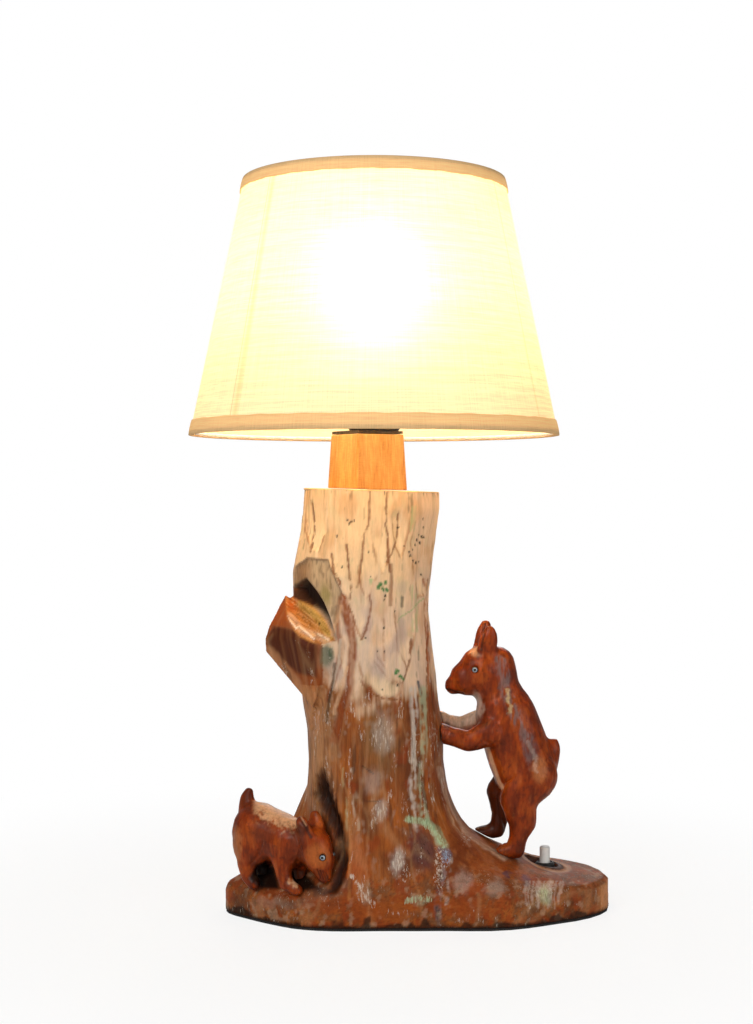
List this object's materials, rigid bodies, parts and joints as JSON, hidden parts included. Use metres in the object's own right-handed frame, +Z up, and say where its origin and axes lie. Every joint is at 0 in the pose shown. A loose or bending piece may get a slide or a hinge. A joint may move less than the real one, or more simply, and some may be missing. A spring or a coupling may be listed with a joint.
{
  "type": "table lamp",
  "caption": "Table lamp carved from a hewn log, with an upright animal, a crouching animal, a push switch in the foot and a tapered fabric shade over a screw-in bulb.",
  "frame": {"origin": "on the pad's underside, straight below the axis of the bulb holder", "axes": "+Z up along the holder's axis, +X to the right towards the switch end of the foot, +Y to the back"},
  "size_m": [0.2879, 0.2516, 0.4972],
  "materials": {
    "log_wood": "hewn and varnished, with worn pale and green paint",
    "figure_wood": "carved, red-brown and polished by handling",
    "neck_wood": "planed, golden",
    "dark_plate": "dark brown",
    "felt": "black felt",
    "eye_glass": "polished dark bead",
    "steel": "zinc plated",
    "brass": "bright",
    "black_plastic": "black, semi-matt",
    "porcelain": "glazed white",
    "white_plastic": "off white",
    "bulb_glass": "frosted, warm",
    "clear_glass": "clear",
    "black_glass": "black insulator",
    "bulb_metal": "rolled thread",
    "filament": "glowing",
    "shade_fabric": "cream linen weave",
    "shade_trim": "peach band, glued",
    "white_wire": "white coated wire",
    "blue_lead": "blue sleeve",
    "brown_lead": "brown sleeve"
  },
  "bodies": {
    "log": {"trunk": "log_wood", "base_pad": "felt", "climbing_figure": "figure_wood", "crouching_figure": "figure_wood", "climbing_eye_near": "eye_glass", "climbing_eye_far": "eye_glass", "crouching_eye_near": "eye_glass", "crouching_eye_far": "eye_glass", "neck_block": "neck_wood", "neck_plate": "dark_plate", "threaded_tube": "steel", "tube_washer": "steel", "tube_nut_lower": "steel", "tube_nut_upper": "steel", "holder_cap": "black_plastic", "holder_insert": "porcelain", "holder_sleeve": "black_plastic", "shade_ring": "black_plastic", "screw_shell": "brass", "centre_contact": "brass", "holder_terminal_left": "brass", "holder_terminal_right": "brass", "switch_body": "black_plastic", "switch_nut": "black_plastic", "switch_spring": "steel", "switch_terminal_front": "brass", "switch_terminal_back": "brass", "terminal_block": "white_plastic", "block_screw": "brass", "clamp_screw_left": "brass", "clamp_screw_right": "brass", "lead_neutral": "blue_lead", "lead_live": "brown_lead", "lead_switched": "brown_lead", "inlet_bush": "black_plastic"},
    "bulb_contact": {"bulb_tip": "bulb_metal"},
    "bulb": {"bulb_glass": "bulb_glass", "bulb_cap": "bulb_metal", "bulb_insulator": "black_glass", "bulb_stem": "clear_glass", "bulb_filament": "filament"},
    "shade": {"shade_cover": "shade_fabric", "shade_bottom_trim": "shade_trim", "shade_top_trim": "shade_trim", "shade_top_wire": "white_wire", "shade_carrier": "white_wire"},
    "plunger": {"switch_plunger": "white_plastic"}
  },
  "joints": [
    {"name": "switch_push", "type": "slide", "parent": "log", "child": "plunger", "axis": [0, 0, -1], "range_m": [0, 0.0025], "stiffness_N_per_m": 600, "springref_m": -0.003, "deforming": ["switch_spring"]},
    {"name": "bulb_lift", "type": "slide", "parent": "log", "child": "bulb_contact", "axis": [0, 0, 1], "range_m": [0, 0.01628]},
    {"name": "bulb_turn", "type": "hinge", "parent": "bulb_contact", "child": "bulb", "pos_m": [0, 0, 0.3568], "axis": [0, 0, 1], "range_deg": [0, 1620]},
    {"name": "shade_turn", "type": "hinge", "parent": "log", "child": "shade", "pos_m": [0, 0, 0.3532], "axis": [0, 0, 1], "continuous": true}
  ],
  "couplings": [
    {"joint": "bulb_turn", "follows": "bulb_lift", "rad_per_m": 1736.1}
  ]
}
